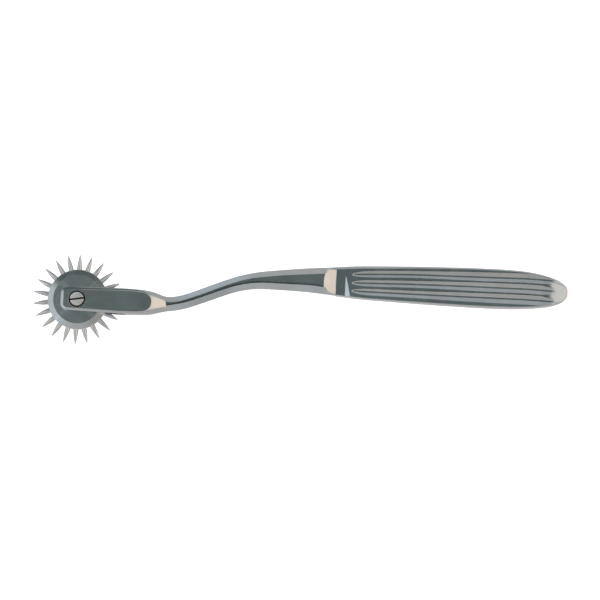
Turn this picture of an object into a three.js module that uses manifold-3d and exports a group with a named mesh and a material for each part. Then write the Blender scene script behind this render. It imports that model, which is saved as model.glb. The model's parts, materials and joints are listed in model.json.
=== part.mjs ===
// Pin-type tracing wheel: a disc of 22 conical needles turning in the slotted yoke of a forged
// S-bent shank, with a fluted hollow handle made of two pressed half shells.
// Millimetres. While it is built, the origin is on the wheel's axle in the tool's mid plane:
// +X runs from the wheel to the butt of the handle, +Y is the side towards which the shank
// rises, and +Z is the side of the screw's head. The last lines move the origin to the
// bottom centre of the whole tool's box, with the tool lying on its back.
import * as THREE from "three";
import { mergeVertices } from "three/addons/utils/BufferGeometryUtils.js";
import Module from "manifold-3d";

// ---- Wheel ----
const DISC_RADIUS = 10.6;
const DISC_THICKNESS = 4;
const DISC_BEVEL_WIDTH = 2.25;
const DISC_BEVEL_DEPTH = 1.4;
const HUB_RADIUS = 3.2;
const HUB_THICKNESS = 4.4;
const DISC_BORE_RADIUS = 1.6;
const NEEDLE_COUNT = 22;
const NEEDLE_PHASE_DEGREES = 7.9;
const NEEDLE_TIP_RADIUS = 16;
const NEEDLE_BASE_RADIUS = 10.64; // distance of the needle's shoulder from the axle
const NEEDLE_HALF_WIDTH = 0.82;
const NEEDLE_STEM_RADIUS = 0.42;
const NEEDLE_HOLE_RADIUS = 0.54;
const NEEDLE_STEM_INNER = 7.5;
const NEEDLE_HOLE_INNER = 7.2;

// ---- Yoke: two arms with a slot between them ----
const ARM_FACE_Z = 4.4;
const ARM_BEVEL = 0.85;
const ARM_END_X = -5.75;
const ARM_CORNER = 2.2;
const ARM_SIDES = [[0, 4.1], [8, 4.3], [15.7, 4.45], [21.5, 4.35]]; // x, half height
const SLOT_HALF_WIDTH = 2.4;
const SLOT_ROOT_X = 17.5;
const FACE_NOSE_LENGTH = 4.4; // round end of the arm's flat face, past the last arm side
const FACE_NOSE_DEGREES = 80; // how far round the nose the last neck side is
const FACE_NOSE_BLUNTNESS = 0.85; // 1 is an ellipse, and less is squarer
const NECK_SIDES = [[24, 4.22], [25.6, 4.1], [27, 3.84], [28.5, 3.42], [30, 2.95], [31.6, 2.5]];
const NECK_FACE_Z = 2.1;
const NECK_EDGE_Z = 1.3;
const NECK_EDGE_INSET = 1.4;

// ---- Axle screw ----
const HEAD_RADIUS = 2.55;
const HEAD_TOP_Z = 4.5;
const HEAD_SEAT_Z = 3.2;
const COUNTERBORE_RADIUS = 2.93;
const SHOULDER_RADIUS = 1.5;
const SHOULDER_BORE_RADIUS = 1.6;
const THREAD_RADIUS = 1.2;
const THREAD_BORE_RADIUS = 1.35;
const THREAD_END_Z = -4.1;
const SEAT_GAP = 0.05;
const SCREW_EDGE = 0.25; // chamfer at the head's top and the thread's end
const DRIVE_SLOT_WIDTH = 0.65;
const DRIVE_SLOT_DEPTH = 0.7;
const DRIVE_SLOT_DEGREES = 9.5;

// ---- Shank ----
// Centre line from inside the yoke to the bolster.
const SHANK_LINE = [
  [24, -0.1], [30, -0.2], [34.2, 0], [39, 1.3], [48, 4.95],
  [55, 7.7], [61, 9.3], [70, 10.25], [78, 10.6], [86, 10.7], [91.5, 10.7],
];
// Each list pairs a place along X with the value there.
const SHANK_HALF_WIDTH = [[24, 2.45], [52, 2.45], [60, 2.75], [68, 3.2], [78, 3.95], [91.5, 5.15]];
const SHANK_HALF_DEPTH = [[24, 2.1], [60, 2.2], [87, 2.8], [91.5, 2.9]];
const SHANK_LAND_HALF_WIDTH = [[24, 0.5], [54, 0.62], [66, 1.1], [91.5, 2.65]];
const SHANK_RINGS = 26;
const BOLSTER_START_X = 87.3;
const BOLSTER_HALF_WIDTH = 4.55;
const BOLSTER_FOOT_Z = 1.2; // inside the shank, where the ramp is rooted
const BOLSTER_STEPS = 8;
const BOLSTER_EDGE_FALL = 0.3; // how much of the shank's depth the ramp's ends start lower
const BOLSTER_TOE = 0.1; // length of the ramp at its ends
const TANG_END_X = 126;
const TANG_HALF_WIDTH = 3.2;
const TANG_HALF_DEPTH = 1.9;

// ---- Handle ----
const HANDLE_START_X = 91.5;
const HANDLE_AXIS_Y = 10.7;
const HANDLE_LENGTH = 82.5;
const HANDLE_HALF_WIDTH = [[0, 5.15], [7, 5.75], [21, 6.32], [36, 6.78], [50, 7.04], [54, 7.07]];
const HANDLE_HALF_DEPTH = [[0, 3.9], [10, 4.15], [35, 4.4], [54, 4.4]];
const BUTT_START = 54; // distance from the bolster at which the handle begins to round off
const BUTT_EXPONENT = 2.5;
const BUTT_DROOP = 0.43;
const BUTT_LEAST = 0.08; // share of the full section left at the very end
const BUTT_THIN_START = 74.5; // where the handle begins to get thinner
const BUTT_THINNING = 0.27; // share of the depth lost by the butt's edge
const BUTT_EDGE_LENGTH = 1.1;
const SECTION_EXPONENT = 4;
const FLUTE_DEPTH = 0.4;
const FLUTE_START = 5;
const FLUTE_FULL = 8.5;
const FLUTE_FADE = 66;
const FLUTE_END = 77;
const SHELL_WALL = 1;
const CAVITY_END = 80;
const HANDLE_STATIONS = [0, 3.2, 5, 8.5, 20, 34, 46, 54, 60, 66, 71, 75, 78, 80, 81.3, 82.1, 82.5];

const STEEL = { color: 0x8d9496, roughness: 0.22, metalness: 1 };
const NEEDLE_STEEL = { color: 0xa3a6a8, roughness: 0.3, metalness: 1 };
const SCREW_STEEL = { color: 0xb4b3b0, roughness: 0.4, metalness: 1 };

const wasm = await Module();
wasm.setup();

// ---- Helpers ----

// Value at x of a line through the pairs [x, value], level beyond its two ends.
function along(pairs, x) {
  const next = pairs.findIndex(([at]) => at >= x);
  if (next === 0) return pairs[0][1];
  if (next < 0) return pairs[pairs.length - 1][1];
  const [x0, v0] = pairs[next - 1];
  const [x1, v1] = pairs[next];
  return v0 + ((v1 - v0) * (x - x0)) / (x1 - x0);
}

// Closed surface through rings of equally many points, with a flat cap on the first and last.
function loft(rings, capShape) {
  const count = rings[0].length;
  const positions = rings.flat().flatMap((p) => [p.x, p.y, p.z]);
  const index = [];
  for (let r = 0; r + 1 < rings.length; r++) {
    for (let i = 0; i < count; i++) {
      const a = r * count + i;
      const b = r * count + ((i + 1) % count);
      index.push(a, b, b + count, a, b + count, a + count);
    }
  }
  const last = (rings.length - 1) * count;
  for (const [a, b, c] of THREE.ShapeUtils.triangulateShape(capShape, [])) {
    index.push(c, b, a, last + a, last + b, last + c);
  }
  const geometry = new THREE.BufferGeometry();
  geometry.setAttribute("position", new THREE.Float32BufferAttribute(positions, 3));
  geometry.setIndex(index);
  return geometry;
}

function solidFrom(geometry) {
  const bare = geometry.clone();
  bare.deleteAttribute("normal");
  bare.deleteAttribute("uv");
  const merged = mergeVertices(bare, 1e-4);
  return new wasm.Manifold(new wasm.Mesh({
    numProp: 3,
    vertProperties: new Float32Array(merged.attributes.position.array),
    triVerts: new Uint32Array(merged.index.array),
  }));
}

function geometryFrom(solid) {
  const { vertProperties, triVerts } = solid.getMesh();
  const geometry = new THREE.BufferGeometry();
  geometry.setAttribute("position", new THREE.BufferAttribute(vertProperties, 3));
  geometry.setIndex(new THREE.BufferAttribute(triVerts, 1));
  geometry.computeVertexNormals();
  return geometry;
}

// Upright cylinder between two heights, at the wheel's axle unless x says otherwise.
function post(radius, bottom, top, segments = 24) {
  const geometry = new THREE.CylinderGeometry(radius, radius, top - bottom, segments);
  geometry.rotateX(Math.PI / 2);
  geometry.translate(0, 0, (top + bottom) / 2);
  return solidFrom(geometry);
}

function box(from, to) {
  const size = new THREE.Vector3().subVectors(to, from);
  const geometry = new THREE.BoxGeometry(size.x, size.y, size.z);
  geometry.translate((from.x + to.x) / 2, (from.y + to.y) / 2, (from.z + to.z) / 2);
  return solidFrom(geometry);
}

function piece(name, geometry, finish) {
  const mesh = new THREE.Mesh(geometry, new THREE.MeshStandardMaterial(finish));
  mesh.name = name;
  return mesh;
}

// ---- Wheel ----

function discGeometry() {
  const halfHub = HUB_THICKNESS / 2;
  const halfDisc = DISC_THICKNESS / 2;
  const rim = halfDisc - DISC_BEVEL_DEPTH;
  const faceRadius = DISC_RADIUS - DISC_BEVEL_WIDTH;
  const profile = [
    [DISC_BORE_RADIUS, -halfHub], [HUB_RADIUS, -halfHub], [HUB_RADIUS, -halfDisc],
    [faceRadius, -halfDisc], [DISC_RADIUS, -rim], [DISC_RADIUS, rim], [faceRadius, halfDisc],
    [HUB_RADIUS, halfDisc], [HUB_RADIUS, halfHub], [DISC_BORE_RADIUS, halfHub],
    [DISC_BORE_RADIUS, -halfHub],
  ].map(([r, z]) => new THREE.Vector2(r, z));
  const turned = new THREE.LatheGeometry(profile, 2 * NEEDLE_COUNT);
  turned.rotateX(Math.PI / 2);
  turned.rotateZ(THREE.MathUtils.degToRad(NEEDLE_PHASE_DEGREES));
  let disc = solidFrom(turned);
  for (let k = 0; k < NEEDLE_COUNT; k++) {
    const hole = new THREE.CylinderGeometry(
      NEEDLE_HOLE_RADIUS, NEEDLE_HOLE_RADIUS, DISC_RADIUS + 1 - NEEDLE_HOLE_INNER, 8,
    );
    hole.translate(0, (DISC_RADIUS + 1 + NEEDLE_HOLE_INNER) / 2, 0);
    hole.rotateZ(needleAngle(k) - Math.PI / 2);
    disc = disc.subtract(solidFrom(hole));
  }
  return geometryFrom(disc);
}

function needleAngle(k) {
  return THREE.MathUtils.degToRad(NEEDLE_PHASE_DEGREES + (360 * k) / NEEDLE_COUNT);
}

// A turned pin along +Y: a stem inside the disc, a shoulder on its rim, and an ogive point.
function needleGeometry() {
  const exposed = NEEDLE_TIP_RADIUS - NEEDLE_BASE_RADIUS;
  const ogive = [[0, 1], [0.2, 0.99], [0.37, 0.88], [0.55, 0.73], [0.74, 0.48], [0.86, 0.29]];
  const profile = [
    new THREE.Vector2(0, NEEDLE_STEM_INNER),
    new THREE.Vector2(NEEDLE_STEM_RADIUS, NEEDLE_STEM_INNER),
    new THREE.Vector2(NEEDLE_STEM_RADIUS, NEEDLE_BASE_RADIUS),
    ...ogive.map(([part, width]) =>
      new THREE.Vector2(width * NEEDLE_HALF_WIDTH, NEEDLE_BASE_RADIUS + part * exposed)),
    new THREE.Vector2(0, NEEDLE_TIP_RADIUS),
  ];
  return new THREE.LatheGeometry(profile, 8);
}

function makeWheel() {
  const wheel = new THREE.Group();
  wheel.add(piece("wheel_disc", discGeometry(), STEEL));
  for (let k = 0; k < NEEDLE_COUNT; k++) {
    const number = String(k + 1).padStart(2, "0");
    const needle = piece(`needle_${number}`, needleGeometry(), NEEDLE_STEEL);
    needle.rotation.z = needleAngle(k) - Math.PI / 2;
    wheel.add(needle);
  }
  return wheel;
}

// ---- Axle screw ----

function screwGeometry() {
  const profile = [
    [0, THREAD_END_Z], [THREAD_RADIUS - SCREW_EDGE, THREAD_END_Z],
    [THREAD_RADIUS, THREAD_END_Z + SCREW_EDGE],
    [THREAD_RADIUS, -SLOT_HALF_WIDTH + SEAT_GAP], [SHOULDER_RADIUS, -SLOT_HALF_WIDTH + SEAT_GAP],
    [SHOULDER_RADIUS, HEAD_SEAT_Z + SEAT_GAP], [HEAD_RADIUS, HEAD_SEAT_Z + SEAT_GAP],
    [HEAD_RADIUS, HEAD_TOP_Z - SCREW_EDGE], [HEAD_RADIUS - SCREW_EDGE, HEAD_TOP_Z], [0, HEAD_TOP_Z],
  ].map(([r, z]) => new THREE.Vector2(r, z));
  const turned = new THREE.LatheGeometry(profile, 24);
  turned.rotateX(Math.PI / 2);
  const slot = new THREE.BoxGeometry(4 * HEAD_RADIUS, DRIVE_SLOT_WIDTH, 2 * DRIVE_SLOT_DEPTH);
  slot.translate(0, 0, HEAD_TOP_Z);
  slot.rotateZ(THREE.MathUtils.degToRad(DRIVE_SLOT_DEGREES));
  return geometryFrom(solidFrom(turned).subtract(solidFrom(slot)));
}

// ---- Fork: yoke, shank, bolster and tang in one forging ----

// Outline of the yoke at one height, anticlockwise. bevel draws the arm's edges in. ramp is 0 at
// the arm's flat face, which ends in a round nose, and 1 where the yoke runs into the neck.
// neckInset draws the neck end in, for the rounded edge that it shares with the shank.
function yokeOutline(bevel, ramp, neckInset = 0) {
  const left = ARM_END_X + bevel;
  const top = ARM_SIDES[0][1] - bevel;
  const corner = ARM_CORNER - bevel / 2;
  const upper = [180, 150, 120, 90].map((degrees) => {
    const turn = THREE.MathUtils.degToRad(degrees);
    return [left + corner * (1 + Math.cos(turn)), top + corner * (Math.sin(turn) - 1)];
  });
  for (const [x, half] of ARM_SIDES) upper.push([x, half - bevel]);
  const [noseX, noseHalf] = ARM_SIDES[ARM_SIDES.length - 1];
  NECK_SIDES.forEach(([neckX, neckHalf], i) => {
    const part = (i + 1) / NECK_SIDES.length;
    const turn = part * THREE.MathUtils.degToRad(FACE_NOSE_DEGREES);
    const faceX = noseX + FACE_NOSE_LENGTH * Math.sin(turn);
    const faceHalf = (noseHalf - ARM_BEVEL) * Math.cos(turn) ** FACE_NOSE_BLUNTNESS;
    upper.push([
      THREE.MathUtils.lerp(faceX, neckX, ramp),
      THREE.MathUtils.lerp(faceHalf, neckHalf - neckInset * part, ramp),
    ]);
  });
  const lower = upper.map(([x, y]) => [x, -y]);
  return [...lower, ...upper.reverse()].map(([x, y]) => new THREE.Vector2(x, y));
}

function yokeSolid() {
  const shoulderZ = ARM_FACE_Z - ARM_BEVEL;
  const shoulderRamp = (ARM_FACE_Z - shoulderZ) / (ARM_FACE_Z - NECK_FACE_Z);
  const half = [
    [NECK_EDGE_Z, yokeOutline(0, 1)],
    [NECK_FACE_Z, yokeOutline(0, 1, NECK_EDGE_INSET)],
    [shoulderZ, yokeOutline(0, shoulderRamp, NECK_EDGE_INSET)],
    [ARM_FACE_Z, yokeOutline(ARM_BEVEL, 0)],
  ];
  const levels = [...half.map(([z, outline]) => [-z, outline]).reverse(), ...half];
  const rings = levels.map(([z, outline]) => outline.map((p) => new THREE.Vector3(p.x, p.y, z)));
  return solidFrom(loft(rings, levels[0][1]));
}

// Cross-section of the shank: a flat land front and back, joined by elliptical flanks.
function shankSection(x) {
  const halfWidth = along(SHANK_HALF_WIDTH, x);
  const halfDepth = along(SHANK_HALF_DEPTH, x);
  const land = along(SHANK_LAND_HALF_WIDTH, x);
  const flank = [90, 60, 30, 0].map((degrees) => {
    const turn = THREE.MathUtils.degToRad(degrees);
    return [land + (halfWidth - land) * Math.sin(turn), halfDepth * Math.cos(turn)];
  });
  const front = [...flank, ...flank.map(([y, z]) => [-y, z]).reverse()];
  const back = front.slice(1, -1).map(([y, z]) => [y, -z]).reverse();
  return [...front, ...back].map(([y, z]) => new THREE.Vector2(y, z));
}

function shankSolid() {
  const line = new THREE.CatmullRomCurve3(
    SHANK_LINE.map(([x, y]) => new THREE.Vector3(x, y, 0)), false, "centripetal",
  );
  const rings = [];
  for (let r = 0; r <= SHANK_RINGS; r++) {
    const centre = line.getPointAt(r / SHANK_RINGS);
    const ahead = r === SHANK_RINGS ? new THREE.Vector3(1, 0, 0) : line.getTangentAt(r / SHANK_RINGS);
    rings.push(shankSection(centre.x).map((p) =>
      new THREE.Vector3(centre.x - p.x * ahead.y, centre.y + p.x * ahead.x, p.y)));
  }
  return solidFrom(loft(rings, shankSection(HANDLE_START_X)));
}

// Ramp from the shank's land up to the level of the handle's face. Its foot is an arc that bows
// towards the wheel. side is 1 for the front of the tool and -1 for the back.
function bolsterRamp(side) {
  const foot = BOLSTER_FOOT_Z;
  const sections = [];
  for (let i = 0; i <= BOLSTER_STEPS; i++) {
    const part = (2 * i) / BOLSTER_STEPS - 1;
    const y = part * BOLSTER_HALF_WIDTH;
    const startX = THREE.MathUtils.lerp(BOLSTER_START_X, HANDLE_START_X - BOLSTER_TOE, part * part);
    const crest = handleHalfDepth(0) * crown(y / handleHalfWidth(0));
    const shoulder = along(SHANK_HALF_DEPTH, startX) * (1 - BOLSTER_EDGE_FALL * part ** 4) - SEAT_GAP;
    const outline = [[foot, startX], [shoulder, startX], [crest, HANDLE_START_X], [foot, HANDLE_START_X]];
    if (side < 0) outline.reverse();
    sections.push(outline.map(([z, x]) => new THREE.Vector3(x, HANDLE_AXIS_Y + y, side * z)));
  }
  return solidFrom(loft(sections, sections[0].map((p) => new THREE.Vector2(p.z, p.x))));
}

function forkGeometry() {
  const far = 2 * ARM_SIDES[0][1]; // past the arms' sides
  const rootCentre = SLOT_ROOT_X - SLOT_HALF_WIDTH;
  const slot = box(
    new THREE.Vector3(ARM_END_X - 1, -far, -SLOT_HALF_WIDTH),
    new THREE.Vector3(rootCentre, far, SLOT_HALF_WIDTH),
  );
  const root = new THREE.CylinderGeometry(SLOT_HALF_WIDTH, SLOT_HALF_WIDTH, 2 * far, 24);
  root.translate(rootCentre, 0, 0);
  const tang = box(
    new THREE.Vector3(HANDLE_START_X - 1, HANDLE_AXIS_Y - TANG_HALF_WIDTH, -TANG_HALF_DEPTH),
    new THREE.Vector3(TANG_END_X, HANDLE_AXIS_Y + TANG_HALF_WIDTH, TANG_HALF_DEPTH),
  );
  const fork = yokeSolid()
    .subtract(slot)
    .subtract(solidFrom(root))
    .subtract(post(SHOULDER_BORE_RADIUS, 0, ARM_FACE_Z + 1))
    .subtract(post(COUNTERBORE_RADIUS, HEAD_SEAT_Z, ARM_FACE_Z + 1))
    .subtract(post(THREAD_BORE_RADIUS, -ARM_FACE_Z - 1, 0))
    .add(shankSolid())
    .add(bolsterRamp(1))
    .add(bolsterRamp(-1))
    .add(tang);
  return geometryFrom(fork);
}

// ---- Handle ----

// Height of the handle's broad face at a share of its half width, as a share of its half depth.
function crown(part) {
  return (1 - Math.abs(part) ** SECTION_EXPONENT) ** (1 / SECTION_EXPONENT);
}

// How much of the full depth is left near the butt: a slow fall, then a rounded edge.
function buttDepthShare(h) {
  const thinned = THREE.MathUtils.mapLinear(h, BUTT_THIN_START, HANDLE_LENGTH, 0, 1);
  const edge = THREE.MathUtils.mapLinear(h, HANDLE_LENGTH - BUTT_EDGE_LENGTH, HANDLE_LENGTH, 0, 1);
  const rounded = Math.sqrt(1 - Math.max(0, edge) ** 2);
  return Math.max(BUTT_LEAST, (1 - BUTT_THINNING * Math.max(0, thinned) ** 2) * rounded);
}

// How much of the full width is left where the butt rounds off.
function buttShare(h) {
  if (h <= BUTT_START) return 1;
  const part = (h - BUTT_START) / (HANDLE_LENGTH - BUTT_START);
  return Math.max(BUTT_LEAST, (1 - part ** BUTT_EXPONENT) ** (1 / BUTT_EXPONENT));
}

function handleHalfWidth(h) {
  return along(HANDLE_HALF_WIDTH, h) * buttShare(h);
}

function handleHalfDepth(h) {
  return along(HANDLE_HALF_DEPTH, h) * buttDepthShare(h);
}

function handleAxisY(h) {
  const part = THREE.MathUtils.smoothstep(h, FLUTE_FADE, HANDLE_LENGTH);
  return HANDLE_AXIS_Y - BUTT_DROOP * part;
}

// Closed ring of a half shell's section at distance h from the bolster, from the +Y edge over
// the face to the -Y edge. side is 1 for the front of the tool and -1 for the back. outline
// lists [y, height] from the middle of the face out to its edge.
function halfRing(h, side, outline) {
  const whole = [...outline.slice().reverse(), ...outline.slice(1).map(([y, z]) => [-y, z])];
  const ring = whole.map(([y, z]) =>
    new THREE.Vector3(HANDLE_START_X + h, handleAxisY(h) + y, side * z));
  return side > 0 ? ring : ring.reverse();
}

// Outside of a shell: the middle groove, the inner rib, the side groove, the outer rib and the
// rounded edge, each as a share of the half width with the share of the flute cut there.
const SHELL_POINTS = [
  [0, 1], [0.2, 0], [0.3, 0], [0.51, 1], [0.74, 0], [0.85, 0], [0.93, 0], [0.98, 0], [0.997, 0], [1, 0],
];

function shellRing(h, side) {
  const start = THREE.MathUtils.smoothstep(h, FLUTE_START, FLUTE_FULL);
  const end = 1 - THREE.MathUtils.smoothstep(h, FLUTE_FADE, FLUTE_END);
  const flute = FLUTE_DEPTH * Math.min(start, end);
  const outline = SHELL_POINTS.map(([part, cut]) => [
    part * handleHalfWidth(h),
    handleHalfDepth(h) * crown(part) - flute * cut,
  ]);
  return halfRing(h, side, outline);
}

// Inside of a shell: smooth, a wall's thickness below the grooves, and open at the seam.
function cavityRing(h, side) {
  const end = THREE.MathUtils.smoothstep(h, FLUTE_FADE, FLUTE_END);
  const halfWidth = handleHalfWidth(h) - SHELL_WALL;
  const halfDepth = handleHalfDepth(h) - SHELL_WALL - FLUTE_DEPTH * (1 - end);
  const outline = [0, 0.5, 0.8, 0.93, 1].map((part) => [part * halfWidth, halfDepth * crown(part)]);
  outline.push([halfWidth, -SHELL_WALL]);
  return halfRing(h, side, outline);
}

function shellGeometry(side) {
  const flat = (ring) => ring.map((p) => new THREE.Vector2(p.y, p.z));
  const outside = HANDLE_STATIONS.map((h) => shellRing(h, side));
  const inside = [-1, ...HANDLE_STATIONS.filter((h) => h > 0 && h < CAVITY_END), CAVITY_END]
    .map((h) => cavityRing(h, side));
  const shell = solidFrom(loft(outside, flat(outside[0])));
  return geometryFrom(shell.subtract(solidFrom(loft(inside, flat(inside[0])))));
}

// ---- Assembly ----

const tool = new THREE.Group();
tool.add(piece("fork_shank", forkGeometry(), STEEL));
tool.add(piece("handle_front_shell", shellGeometry(1), STEEL));
tool.add(piece("handle_back_shell", shellGeometry(-1), STEEL));
tool.add(piece("axle_screw", screwGeometry(), SCREW_STEEL));
tool.add(makeWheel());

const extent = new THREE.Box3().setFromObject(tool);
const middle = extent.getCenter(new THREE.Vector3());
tool.position.set(-middle.x, -middle.y, -extent.min.z);

const part = new THREE.Group();
part.add(tool);

export default part;
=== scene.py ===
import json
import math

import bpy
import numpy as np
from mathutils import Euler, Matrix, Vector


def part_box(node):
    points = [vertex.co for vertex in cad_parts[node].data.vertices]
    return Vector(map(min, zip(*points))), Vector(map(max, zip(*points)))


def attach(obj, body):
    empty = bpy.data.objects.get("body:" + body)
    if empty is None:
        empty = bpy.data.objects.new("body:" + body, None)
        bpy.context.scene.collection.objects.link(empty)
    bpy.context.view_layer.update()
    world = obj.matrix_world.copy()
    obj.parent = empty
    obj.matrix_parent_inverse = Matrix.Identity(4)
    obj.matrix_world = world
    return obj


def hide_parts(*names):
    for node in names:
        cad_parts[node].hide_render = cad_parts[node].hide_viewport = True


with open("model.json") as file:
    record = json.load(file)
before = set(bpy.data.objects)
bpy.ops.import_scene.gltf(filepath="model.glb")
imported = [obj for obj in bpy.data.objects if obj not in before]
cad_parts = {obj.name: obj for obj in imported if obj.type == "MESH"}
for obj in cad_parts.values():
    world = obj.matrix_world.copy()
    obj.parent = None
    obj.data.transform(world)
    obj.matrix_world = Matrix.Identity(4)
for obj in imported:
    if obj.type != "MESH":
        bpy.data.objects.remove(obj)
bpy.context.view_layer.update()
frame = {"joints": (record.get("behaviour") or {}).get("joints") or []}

# Looks of the pin-type tracing wheel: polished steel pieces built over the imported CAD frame.
#
# Shapes are worked out in millimetres in the tool's own axes, with the wheel's axle at the origin:
# x runs towards the butt of the handle, y towards the side to which the shank rises, and z towards
# the screw's head. place() puts them in the frame, in metres. h is the distance along the handle
# from its start, and a height is a distance from the tool's middle plane, z = 0.

MM = 0.001
AXLE = Vector(next(j for j in frame["joints"] if j["name"] == "wheel_spin")["pos_m"])


def span(node, axis):
    """Size of a CAD node along an axis, in millimetres."""
    low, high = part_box(node)
    return (high[axis] - low[axis]) / MM


def place(points):
    """Points of the tool in millimetres as an array of places in the frame, in metres."""
    return np.asarray(points, float) * MM + np.array(AXLE)


def tool_x(value):
    """Distance of a place in the frame from the axle along x, in millimetres."""
    return (value - AXLE.x) / MM


def tool_z(value):
    """Height of a place in the frame, in millimetres from the tool's middle plane."""
    return (value - AXLE.z) / MM


def rgb(red, green, blue):
    return (red, green, blue, 1.0)


# ---- How meshes are made ----
CREASE = 35  # degrees from which an edge is sharp
CUT_CREASE = 30
SHELL_CREASE = 50
CORNER_POINTS = 5
CORNER_MOST_SHARE = 0.45  # of a profile's side that a rounded corner takes
SUPPORT_REACH = 1.1  # distance of the point beside a rounded corner, over the corner's own

# ---- Sizes of the handle, in millimetres; a table holds [h, value] pairs ----
SHELL_LOW, SHELL_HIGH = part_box("handle_front_shell")
HANDLE_START = tool_x(SHELL_LOW.x)
HANDLE_LENGTH = span("handle_front_shell", 0)
HANDLE_AXIS_Y = ((SHELL_LOW.y + SHELL_HIGH.y) / 2 - AXLE.y) / MM
HANDLE_MOST_HALF_WIDTH = span("handle_front_shell", 1) / 2 - 0.005  # a hair inside the CAD's
HANDLE_HALF_WIDTH = [[0, 5.15], [3.2, 5.42], [7, 5.76], [21, 6.34], [36, 6.8], [50, 7.04], [56, 7.06]]
BODY_HALF_DEPTH = [[5, 4.15], [14, 4.27], [30, 4.38], [54, 4.39]]
CROWN_FALL = 0.001  # times the square of the distance from the handle's middle
UPPER_FLAT_SHARE = [[0, 0.79], [10, 0.8], [30, 0.862], [47, 0.885]]  # of the half width
LOWER_FLAT_SHARE = [[0, 0.965], [10, 0.965], [30, 0.945], [47, 0.935]]
SIDE_EXPONENT = 2.6
SIDE_EDGE = 0.12  # rounding where the face meets the sides
SHELL_POINTS = 110  # from the handle's side to its middle
INSIDE_POINTS = 25
CLOSE_STATIONS_END = 12.0  # h up to which the stations lie close together, for the collar
STATIONS_ON_COLLAR = 60
STATIONS_ON_HANDLE = 60
STATIONS_ON_BUTT = 90

BUTT_START = 54.0
BUTT_EXPONENT = 2.5
BUTT_DROOP = 0.43
BUTT_DROOP_START = 66.0
BUTT_THIN_START = 74.5  # where the handle begins to get thinner
BUTT_THINNING = 0.27  # share of the depth lost by the butt's edge
BUTT_EDGE_LENGTH = 1.1
BUTT_LEAST_SHARE = 0.02  # of the width and the depth, left at the very end

COLLAR_LOW_Z = 3.84
COLLAR_LOW_Y = -5.1
COLLAR_TILT = 0.04
COLLAR_END = 3.3
FACET_SLOPE = 0.16  # of the light facet between the collar and the flutes
FACET_EDGE = 0.01

FLUTE_DEPTH = [[5.5, 0], [6.4, 0.1], [8, 0.2], [11, 0.27], [30, 0.31], [47, 0.39], [68, 0.43]]
FLUTE_FLOOR = 0.25  # half the width of the flat floor
FLUTE_FLOOR_ROUNDING = 0.04
FLUTE_EDGE = 0.02
FLUTE_FADE_START = 73.0
FLUTE_FURTHEST = 0.78  # largest share of the half width at which a flute's middle can be
FLUTES = [  # line of the middle, slope of the upper flank, slope of the lower flank
    ([[5, 2.35], [10, 2.6], [30, 3.3], [47, 3.45], [68, 3.7]], 0.22, 0.46),
    ([[5, -0.55], [10, -0.5], [30, -0.12], [47, 0]], 0.26, 0.37),
    ([[5, -3.3], [10, -3.5], [47, -3.7]], 0.29, 0.27),
]
CREST_ROLL_SLOPE = 0.15  # how far polishing has rolled the edges of the crests over
CREST_ROLL_REACH = 0.18
CREST_ROLL_DEPTH = 0.1  # depth of a flute from which its edges are fully rolled

WALL = 1.0
INSIDE_LEAST_SHARE = 0.6  # of the half width
INSIDE_LEAST_HEIGHT = 0.3
CAVITY_CLOSING_START = 71.0
CAVITY_END = 79.0
SEAM_GROOVE = 0.05  # how far the shells draw in where they meet
SEAM_REACH = 0.12
SEAM_MOST_SHARE = 0.2  # of the half width

# ---- Sizes of the fork, neck, shank and bolster, in millimetres; a table holds [x, value] pairs ----
ARM_FACE_Z = tool_z(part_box("fork_shank")[1].z)
ARM_END_X = tool_x(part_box("fork_shank")[0].x)
ARM_CORNER = 2.6
ARM_CORNER_X = ARM_END_X + ARM_CORNER
ARM_BEVEL = 0.85
ARM_BEVEL_DEPTH = 0.66
NOSE_START = 22.1
NOSE_LENGTH = 4.4
NOSE_HALF = 3.4
NOSE_EXPONENT = 2.3
NOSE_EDGE = 0.08
NECK_SLOPE = 0.46
NECK_END = 34.0
SLOT_HALF_WIDTH = 2.4
SLOT_ROOT_X = 17.5
HALF_WIDTH = [
    [-3.55, 4.1], [8, 4.34], [15.7, 4.48], [21.5, 4.36], [25.6, 4.12], [27, 3.86], [28.5, 3.45],
    [30, 3.0], [31.4, 2.7], [33, 2.52], [39, 2.48], [46, 2.53], [52, 2.56], [60, 2.8], [68, 3.3],
    [78, 4.02], [87, 4.72], [91.5, 5.14],
]
LAND_HALF_WIDTH = [  # half width of the flat face between the flanks
    [15.7, 3.6], [21.5, 3.5], [24, 3.25], [25.9, 2.8], [27.3, 2.22], [28.7, 1.76], [30, 1.36],
    [31.2, 0.96], [32, 0.66], [34, 0.47], [37, 0.44], [40, 0.49], [54, 0.58], [57, 0.7], [60, 0.79],
    [63, 0.89], [66, 1.03], [71.4, 1.42], [77, 1.72], [83, 2.02], [87.3, 2.4],
]
FLANK_START = LAND_HALF_WIDTH[0][0]  # where the arm's even bevel turns into flanks
LEAST_LAND = 0.1
LAND_ROLL_SLOPE = 0.15  # how far polishing has rolled the lower edge of the land over
LAND_ROLL_REACH = 1.1
LAND_JOIN = 0.03  # rounding where the neck runs into the land
SHANK_HALF_DEPTH = [[31, 2.2], [60, 2.35], [87, 2.8], [91.5, 2.9]]
FLANK_EXPONENT = [[ARM_END_X, 1.02], [8, 1.15], [18, 1.3], [21.5, 1.45], [27, 1.02]]
FLANK_DEPTH_SHARE = [[21.5, ARM_BEVEL_DEPTH / ARM_FACE_Z], [24, 0.3], [27, 0.6], [31, 0.97]]
CENTRE_LINE = [
    [-6, 0], [20, 0], [27, -0.1], [31, -0.2], [34.2, 0.02], [37, 0.68], [41.3, 2.17], [47, 4.5],
    [52.7, 6.81], [57, 8.31], [61.2, 9.32], [65.5, 9.91], [70, 10.2], [76, 10.5], [83, 10.72],
    [88, 10.72], [92, 10.72],
]
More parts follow.
